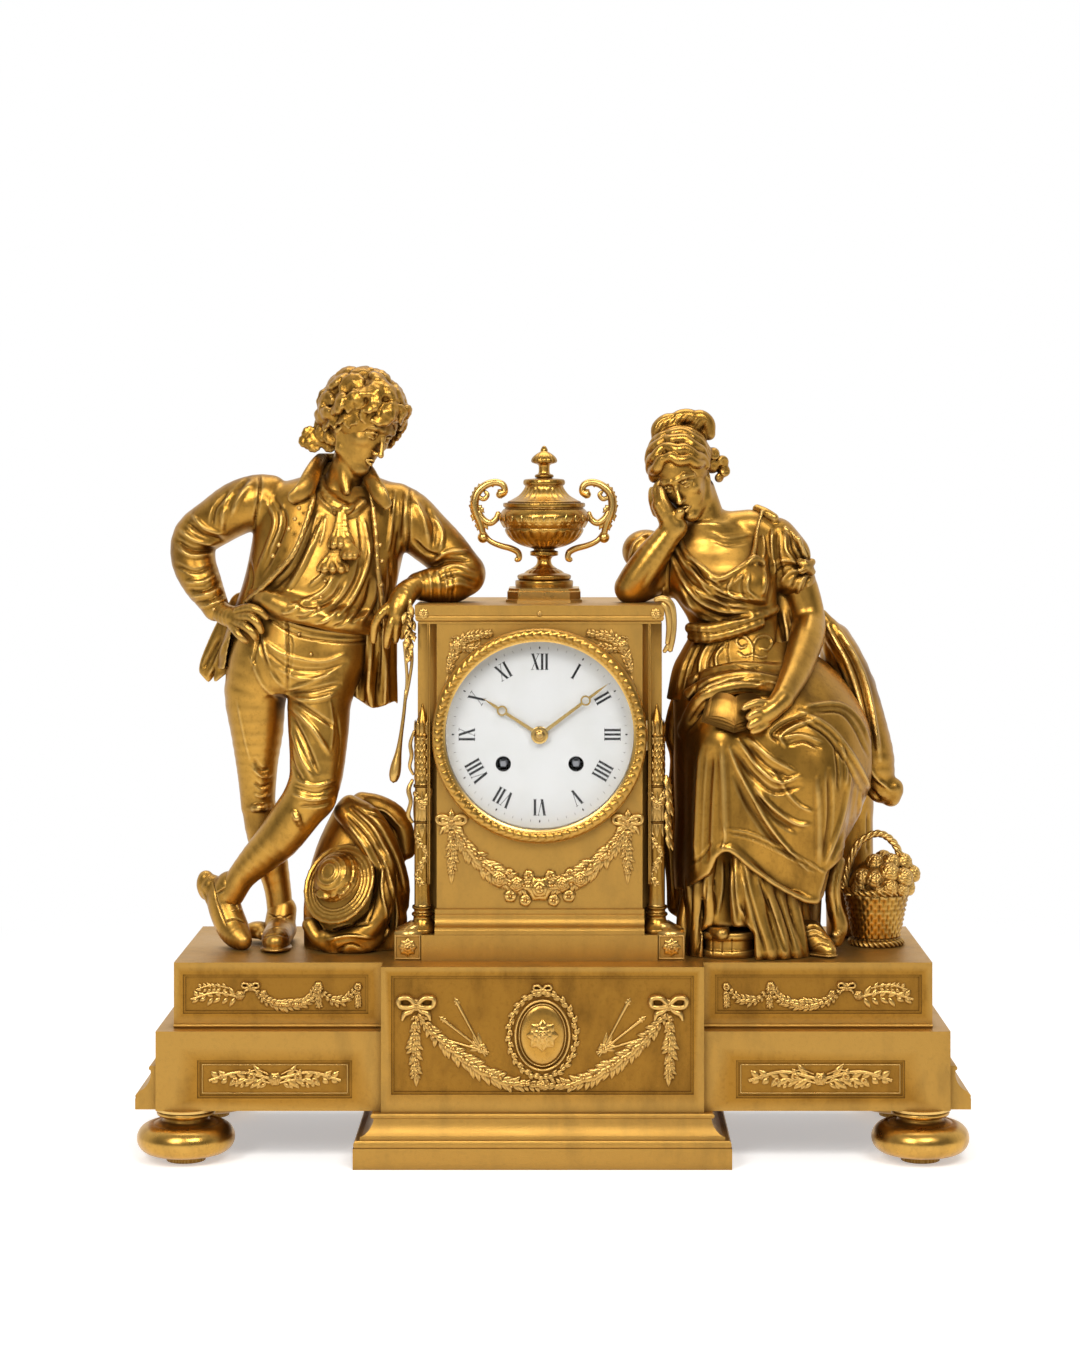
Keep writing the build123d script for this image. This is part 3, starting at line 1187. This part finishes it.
# Escapement
corners = []
for k in range(escape_teeth):
    turn = 360 / escape_teeth * k
    for radius, lead in ((escape_r - escape_tooth, 0), (escape_r, 0.62), (escape_r, 0.74),
        (escape_r - escape_tooth, 0.85)):
        angle = math.radians(turn + lead * 360 / escape_teeth)
        corners.append((radius * math.sin(angle), radius * math.cos(angle)))
disc = make_face(Polyline(corners + [corners[0]]))
hub_r = 2.0
for k in range(spoke_holes):
    disc = disc - Rot(0, 0, 360 / spoke_holes * k) * Pos((escape_r - escape_tooth + hub_r) / 2,
        0) * Circle((escape_r - escape_tooth - hub_r) / 3)
wheel = at_dial(extrude(Plane.XZ * disc, amount=wheel_thickness, dir=(0, 1, 0)), escape_y, 0, escape_place)
wheel = wheel + rod_y(pivot_r, front_plate_y, back_face, 0, escape_place)
keep("escape_wheel", wheel)

anchor_far = anchor_place - escape_place
pallet_r = escape_r + pallet_gap
pallet_width = 1.6
band = Circle(pallet_r + pallet_width) - Circle(pallet_r)
keep_half = Pos(0, anchor_far) * Rectangle(escape_r * 1.7, escape_r * 2.2)
band = band & keep_half
band = band + Pos(0, (pallet_r + pallet_gap + anchor_far) / 2) * Rectangle(pallet_width * 1.6,
    anchor_far - pallet_r - pallet_gap)
anchor = at_dial(extrude(Plane.XZ * band, amount=anchor_thickness, dir=(0, 1, 0)), escape_y, 0, escape_place)
anchor = anchor + rod_y(pivot_r * 1.8, escape_y - overrun, escape_y + anchor_thickness + overrun / 2, 0,
    anchor_place)
anchor = anchor + rod_y(pivot_r, front_plate_y, crutch_y + crutch_r, 0, anchor_place)
anchor = anchor + span_box(case_x - crutch_r, case_x + crutch_r, crutch_y - crutch_r, crutch_y + crutch_r,
                           dial_z + anchor_place - crutch_drop, dial_z + anchor_place)
for side in (-1, 1):
    x = case_x + side * (pendulum_rod_r + crutch_r + gap)
    anchor = anchor + span_box(x - crutch_r / 2, x + crutch_r / 2, crutch_y - crutch_r,
        pendulum_y + pendulum_rod_r,
                               dial_z + anchor_place - crutch_drop - crutch_r,
                               dial_z + anchor_place - crutch_drop + crutch_r)
anchor = anchor + span_box(case_x - pendulum_rod_r - crutch_r * 2, case_x + pendulum_rod_r + crutch_r * 2,
    crutch_y - crutch_r, crutch_y,
                           dial_z + anchor_place - crutch_drop - crutch_r,
                           dial_z + anchor_place - crutch_drop + crutch_r)
keep("anchor", anchor)

bob_z = dial_z + anchor_place - bob_drop
rod = rod_z(pendulum_rod_r, case_x, pendulum_y, bob_z, dial_z + anchor_place + suspension_drop - gap)
bob = revolve(face_of(scaled(bob_shares, bob_r, bob_half)), Axis.Y)
rod = rod + Pos(case_x, pendulum_y, bob_z) * bob
rating_r = 2.4
rod = rod + rod_z(rating_r, case_x, pendulum_y, bob_z - bob_r - rating_r, bob_z - bob_r + overrun)
keep("pendulum", rod)

# Bell and hammer
bell_room = bell_depth - bell_wall
outer = [(r * bell_r, bell_mouth_y + y * bell_depth) for r, y in bell_shares]
inner = [(r * (bell_r - bell_wall), bell_mouth_y + y * bell_room) for r, y in bell_shares]
bore = bell_hub_r / 2 + thin_gap
bell = turned_y([inner[0]] + outer + [(bore, bell_back_y), (bore, bell_back_y - bell_wall)] + inner[:0:-1])
keep("bell", bell)
head_place = bell_r + hammer_head_r + gap * 2
head_turn = math.radians(hammer_angle)
head = (head_place * math.cos(head_turn), head_place * math.sin(head_turn))
hammer = rod_y(hammer_head_r, hammer_head_y - hammer_head_length / 2, hammer_head_y + hammer_head_length / 2,
    head[0], head[1])
hammer = hammer + rod_y(hammer_arm / 2, hammer_arm_y, hammer_head_y, head[0], head[1])
reach = math.hypot(head[0] - hammer_pivot[0], head[1] - hammer_pivot[1])
lean = math.degrees(math.atan2(head[0] - hammer_pivot[0], head[1] - hammer_pivot[1]))
arm = Pos(case_x + (head[0] + hammer_pivot[0]) / 2, hammer_arm_y + hammer_arm / 2,
    dial_z + (head[1] + hammer_pivot[1]) / 2) * (
    Rot(0, lean, 0) * Box(hammer_arm, hammer_arm, reach))
hammer = hammer + arm + rod_y(hammer_arm * 1.4, hammer_arm_y, hammer_arm_y + hammer_arm, hammer_pivot[0],
    hammer_pivot[1])
hammer = hammer - rod_y(pivot_r + thin_gap, hammer_arm_y - overrun, hammer_arm_y + hammer_arm + overrun,
    hammer_pivot[0], hammer_pivot[1])
keep("hammer", hammer)


# Figures
def figure(tables, stacks, place, height):
    body = None
    for rows in stacks:
        piece = stack(rows, place, height)
        body = piece if body is None else body + piece
    for rows in tables.values():
        body = body + limb(rows, place, height)
    return body


youth = figure(youth_shares, (youth_torso_shares, youth_coat_shares, youth_tail_shares), youth_place,
    youth_height)
youth = above_base(youth) + rod_z(stud_r, *figure_studs["youth"], base_top - stud_reach, base_top + overrun)
keep("youth_figure", youth)

stick = limb(stick_shares, stick_place, stick_length)
keep("walking_stick", stick)

bundle = stack(bundle_shares, bundle_place, bundle_height)
hat = Cylinder(hat_r, hat_brim) + Pos(0, 0, -hat_crown / 2) * Cylinder(hat_crown_r, hat_crown)
hat_at = [bundle_place[k] + hat_place_shares[k] * bundle_height for k in range(3)]
hat = Pos(*hat_at) * (Rot(0, 0, hat_turn[1]) * (Rot(90 - hat_turn[0], 0, 0) * hat))
bundle = above_base(bundle + hat) + rod_z(stud_r, *figure_studs["bundle"], base_top - stud_reach,
    base_top + overrun)
keep("hat_bundle", bundle - youth)

maiden = figure(maiden_shares, (maiden_torso_shares, maiden_skirt_shares, maiden_drape_shares), maiden_place,
    maiden_height)
maiden = maiden + span_box(stool_place[0] - stool_length / 2, stool_place[0] + stool_length / 2,
    stool_place[1], stool_place[1] + stool_depth,
                           base_top, base_top + stool_height)
maiden = above_base(maiden) + rod_z(stud_r, *figure_studs["maiden"], base_top - stud_reach,
    base_top + overrun)
keep("maiden_figure", maiden)
book = Box(book_width, book_depth, book_thickness) - Pos(0, -book_depth / 2, book_thickness / 2) * (
    Rot(45, 0, 0) * Box(overrun, overrun, overrun))
book = Pos(*book_place) * (Rot(*book_tilt) * book)
keep("book", book - maiden)

# Basket with its flowers
stud_low = base_top - stud_reach
outline = [(0, stud_low), (stud_r, stud_low), (stud_r, base_top)] + scaled(basket_shares, basket_r,
    basket_height, 0, base_top)[1:]
basket = turned_z(outline, basket_x, basket_y)
ends = [(basket_x + px * basket_r, basket_y, base_top + basket_height * (1 + pz * 0.65)) for px,
    pz in basket_handle_shares]
path = ThreePointArc(*ends)
wire = sweep(Plane(origin=path @ 0, z_dir=path % 0) * Circle(handle_wire), path)
basket = basket + wire
for px, py, pz in flower_shares:
    at = Pos(basket_x + px * basket_r, basket_y + py * basket_r, base_top + basket_height * (1 + pz))
    bud = loft([Pos(0, 0, z * flower_r) * RegularPolygon(r * flower_r, bud_sides) for z, r in bud_shares],
        ruled=True)
    basket = basket + at * (Rot(px * bud_turn, py * bud_turn, pz * bud_turn) * bud)
keep("flower_basket", basket)

keep("fixing_nuts", Compound(children=nuts))
